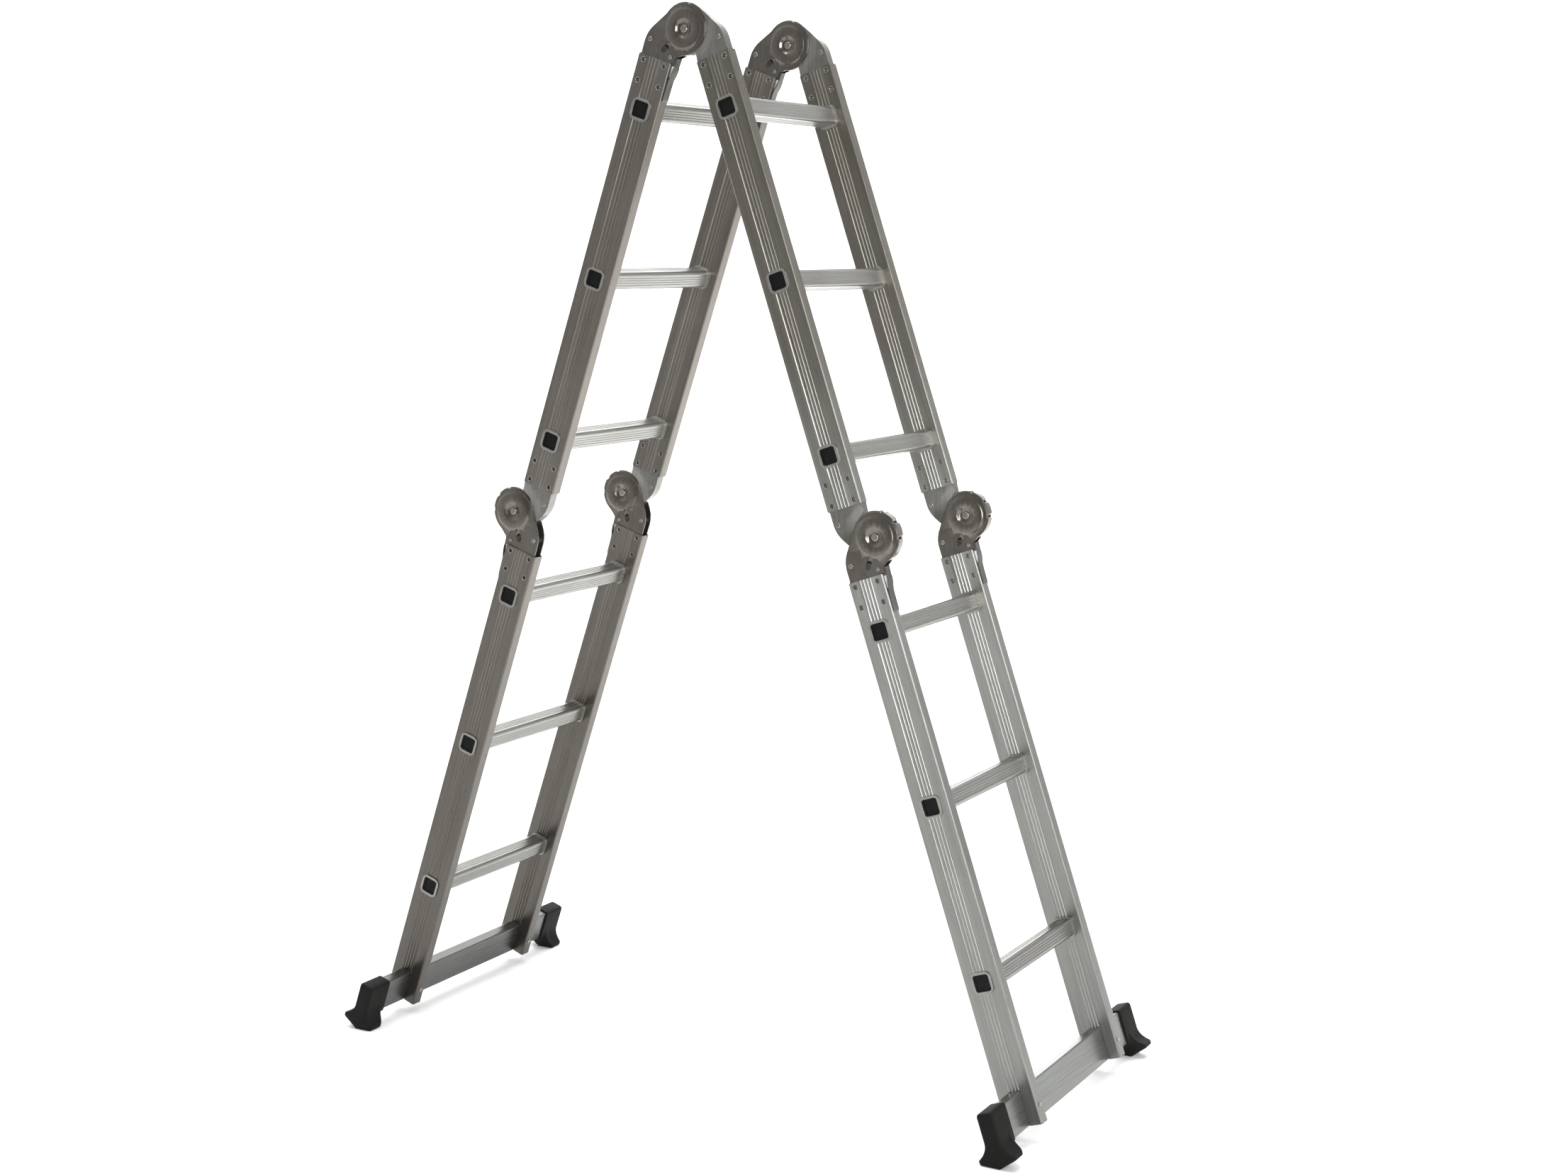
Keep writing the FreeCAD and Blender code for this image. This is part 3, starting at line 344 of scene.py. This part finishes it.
def extents(node, home):
    """Lowest and highest corners of a CAD node in a leg's own frame."""
    back = home.inverted()
    points = [back @ vertex.co for vertex in nodes[node].data.vertices]
    low = Vector(min(point[axis] for point in points) for axis in range(3))
    high = Vector(max(point[axis] for point in points) for axis in range(3))
    return low, high


def blend_in(value, start, end):
    """0 before start, 1 after end, and a smooth step between them."""
    share = min(1.0, max(0.0, (value - start) / (end - start)))
    return share * share * (3 - 2 * share)


def foot_outline(boot, sole, top, bottom, lift):
    """Half an outline, from the top's middle down one flank to the sole's ridge.

    boot and sole are half widths; lift raises the sole's flats, for a groove across them.
    """
    waist = top + (bottom - top) * 0.5
    tip = bottom + sole * math.tan(LEAN)
    points = [(0.0, top)]
    for step in range(5):
        angle = math.pi / 2 * step / 4
        points.append((boot - BOOT_ROUND * (1 - math.sin(angle)),
                       top - BOOT_ROUND * (1 - math.cos(angle))))
    flank_end = tip + SOLE_EDGE
    for step in range(13):
        share = step / 12
        x = boot + (sole - boot) * share**FLARE_POWER
        points.append((x, waist + (flank_end - waist) * share))
    points.append((sole, tip + TIP_ROUND + lift))
    points.append((sole - TIP_ROUND, tip - TIP_ROUND * math.tan(LEAN) + lift))
    points.append((sole * 0.5, (tip + bottom) / 2 + lift))
    points.append((0.0, bottom + lift))
    return points


def foot_stations(inner, outer, sole_start):
    """Places along the bar for the loft: (y, end inset, share of the sole, in a groove)."""
    stations = []
    for step in range(5):
        angle = math.pi / 2 * step / 4
        inset = INNER_ROUND * (1 - math.sin(angle))
        stations.append((inner + INNER_ROUND * (1 - math.cos(angle)), inset, 0.0, False))
    for step in range(1, 9):
        y = inner + (sole_start - inner) * step / 8
        spread = blend_in(y, inner + SLEEVE, sole_start + SPREAD_PAST)
        stations.append((y, 0.0, spread, False))
    last = outer - END_ROUND
    for groove in range(TREAD_GROOVES):
        start = sole_start + (last - sole_start) * (groove + GROOVE_FROM) / TREAD_GROOVES
        end = sole_start + (last - sole_start) * (groove + GROOVE_TO) / TREAD_GROOVES
        stations.append((start, 0.0, 1.0, False))
        stations.append((start + GROOVE_SLOPE, 0.0, 1.0, True))
        stations.append((end, 0.0, 1.0, True))
        stations.append((end + GROOVE_SLOPE, 0.0, 1.0, False))
    for step in range(7):
        angle = math.pi / 2 * step / 6
        inset = END_ROUND * (1 - math.cos(angle))
        stations.append((last + END_ROUND * math.sin(angle), inset, 1.0, False))
    return stations


def foot(side, word):
    """A rubber boot over the bar's end that sweeps out into a sole with a flat each side."""
    node = "%s_%s_foot" % (side, word)
    low, high = extents(node, LEG[side])
    middle = (low.x + high.x) / 2
    sign = 1 if word == "far" else -1
    inner, outer = sorted((abs(low.y), abs(high.y)))
    sole_half = (high.x - low.x) / 2
    bar_low, bar_high = extents("%s_stabiliser_bar" % side, LEG[side])
    boot_half = (bar_high.x - bar_low.x) / 2 + BOOT_WALL
    sleeve_bottom = bar_low.z - BOOT_FLOOR
    sole_start = inner + (outer - inner) * SOLE_START
    rings = []
    made = bmesh.new()
    for y, inset, spread, cut in foot_stations(inner, outer, sole_start):
        bottom = sleeve_bottom + (low.z - sleeve_bottom) * spread
        sole = boot_half + (sole_half - boot_half) * spread
        if spread < 1.0:
            bottom -= boot_half * math.tan(LEAN) * (1 - spread) * INNER_VEE
        half = foot_outline(boot_half, sole, high.z, bottom, TREAD_DEPTH if cut else 0.0)
        centre = (high.z + bottom) / 2
        outline = half + [(-x, z) for x, z in reversed(half[1:-1])]
        shrink_x = 1 - inset / boot_half
        shrink_z = 1 - inset / (high.z - centre)
        ring = []
        for x, z in outline:
            place = Vector((middle + x * shrink_x, sign * y, centre + (z - centre) * shrink_z))
            ring.append(made.verts.new(LEG[side] @ place))
        rings.append(ring)
    count = len(rings[0])
    for near_ring, far_ring in zip(rings, rings[1:]):
        for i in range(count):
            after = (i + 1) % count
            made.faces.new((near_ring[i], near_ring[after], far_ring[after], far_ring[i]))
    for ring in (rings[0], rings[-1]):
        made.faces.new(ring)
    bmesh.ops.recalc_face_normals(made, faces=made.faces)
    for face in made.faces:
        face.smooth = True
    mesh = bpy.data.meshes.new(node + "_loft")
    made.to_mesh(mesh)
    made.free()
    mesh.set_sharp_from_angle(angle=math.radians(42))
    mesh.materials.append(FINISHES["rubber"])
    piece = bpy.data.objects.new(node + "_loft", mesh)
    bpy.context.scene.collection.objects.link(piece)
    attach(piece, "lower_%s_section" % side)
    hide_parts(node)


for foot_side in ("left", "right"):
    for foot_word in ("near", "far"):
        foot(foot_side, foot_word)


# ---------------------------------------------------------------- stage, light and camera
AZIMUTH = math.radians(29.4413)
ELEVATION = math.radians(8.6039)
ROLL = math.radians(0.1395)
CAMERA_DISTANCE = 3.7198
AIM = Vector((0.0830, 0.0, APEX.z - 0.8913))
FOCAL_LENGTH = 51.59


def camera():
    """The camera stands where the photograph was taken from."""
    away = Vector(
        (
            math.sin(AZIMUTH) * math.cos(ELEVATION),
            -math.cos(AZIMUTH) * math.cos(ELEVATION),
            math.sin(ELEVATION),
        )
    )
    right = Vector((math.cos(AZIMUTH), math.sin(AZIMUTH), 0))
    up = away.cross(right)
    level = Matrix((right, up, away)).transposed()
    turned = level @ Matrix.Rotation(ROLL, 3, "Z")
    lens = bpy.data.cameras.new("camera")
    lens.lens = FOCAL_LENGTH
    lens.sensor_width = 36
    lens.clip_end = 60
    holder = bpy.data.objects.new("camera", lens)
    holder.matrix_world = Matrix.Translation(AIM + away * CAMERA_DISTANCE) @ turned.to_4x4()
    bpy.context.scene.collection.objects.link(holder)
    bpy.context.scene.camera = holder


# the floor ends in front of the ladder, where the metal's near faces would reflect it
FLOOR_FRONT, WALL_START, WALL_BEND = -3.2, 4.0, 2.5


def backdrop():
    """A pale floor that curves up into a pale wall behind the ladder."""
    made = Finish("backdrop")
    speckle = made.noise(made.place, 60.0, detail=3.0)
    tone = made.ramp(speckle, [(0.0, (0.86, 0.86, 0.86)), (1.0, (0.9, 0.9, 0.9))])
    rough = made.ramp(speckle, [(0.0, (0.82,)), (1.0, (0.92,))])
    material = made.finish(tone, rough, made.bump(speckle, 0.02, 0.0005))
    height, half = 7.0, 14.0
    profile = [(FLOOR_FRONT, 0.0), (WALL_START, 0.0)]
    for step in range(1, 17):
        angle = math.pi / 2 * step / 16
        rise = WALL_BEND * (1 - math.cos(angle))
        profile.append((WALL_START + WALL_BEND * math.sin(angle), rise))
    profile.append((WALL_START + WALL_BEND, height))
    mesh = bpy.data.meshes.new("backdrop")
    made_mesh = bmesh.new()
    rows = [[made_mesh.verts.new((x, y, z)) for x in (-half, half)] for y, z in profile]
    for low, high in zip(rows, rows[1:]):
        made_mesh.faces.new((low[0], low[1], high[1], high[0])).smooth = True
    made_mesh.to_mesh(mesh)
    made_mesh.free()
    mesh.materials.append(material)
    sheet = bpy.data.objects.new("backdrop", mesh)
    sheet.rotation_euler = (0, 0, AZIMUTH)
    bpy.context.scene.collection.objects.link(sheet)


def softbox(name, azimuth, height, distance, size, power, aim=(0.0, 0.0, 0.9)):
    """A rectangular light that faces aim, azimuth degrees round from the near side to the right."""
    lamp = bpy.data.lights.new(name, "AREA")
    lamp.shape = "RECTANGLE"
    lamp.size, lamp.size_y = size
    lamp.energy = power
    turn = math.radians(azimuth)
    place = Vector((math.sin(turn) * distance, -math.cos(turn) * distance, height))
    facing = (Vector(aim) - place).to_track_quat("-Z", "Y")
    holder = bpy.data.objects.new(name, lamp)
    holder.matrix_world = Matrix.Translation(place) @ facing.to_matrix().to_4x4()
    bpy.context.scene.collection.objects.link(holder)


def room_light():
    """A pale surround that darkens towards the photo's side, so the metal keeps its depth."""
    world = bpy.data.worlds.new("studio")
    bpy.context.scene.world = world
    world.use_nodes = True
    tree = world.node_tree
    background = tree.nodes["Background"]
    where = tree.nodes.new("ShaderNodeTexCoord").outputs["Generated"]
    facing = tree.nodes.new("ShaderNodeVectorMath")
    facing.operation = "DOT_PRODUCT"
    facing.inputs[1].default_value = (math.sin(AZIMUTH), -math.cos(AZIMUTH), 0)
    tree.links.new(where, facing.inputs[0])
    ramp = tree.nodes.new("ShaderNodeValToRGB")
    ramp.color_ramp.elements[0].position = 0.0
    ramp.color_ramp.elements[0].color = (1, 1, 1, 1)
    ramp.color_ramp.elements[1].position = 0.8
    ramp.color_ramp.elements[1].color = (0.20, 0.195, 0.185, 1)
    tree.links.new(facing.outputs["Value"], ramp.inputs["Fac"])
    tree.links.new(ramp.outputs["Color"], background.inputs["Color"])
    background.inputs["Strength"].default_value = 1.0


camera()
backdrop()
room_light()
wall_centre = Vector((-math.sin(AZIMUTH), math.cos(AZIMUTH), 0)) * (WALL_START + WALL_BEND)
wall_centre += Vector((0, 0, 1.6))
softbox("overhead", 0, 4.6, 0.4, (3.0, 2.0), 135)
softbox("right_strip", 82, 1.5, 3.6, (0.7, 2.6), 60)
softbox("front_strip", 32, 1.7, 4.4, (0.5, 3.0), 105)
softbox("wall_wash", 209.4, 5.0, 2.4, (7.0, 2.0), 800, aim=wall_centre)

bpy.context.scene.view_settings.view_transform = "Standard"
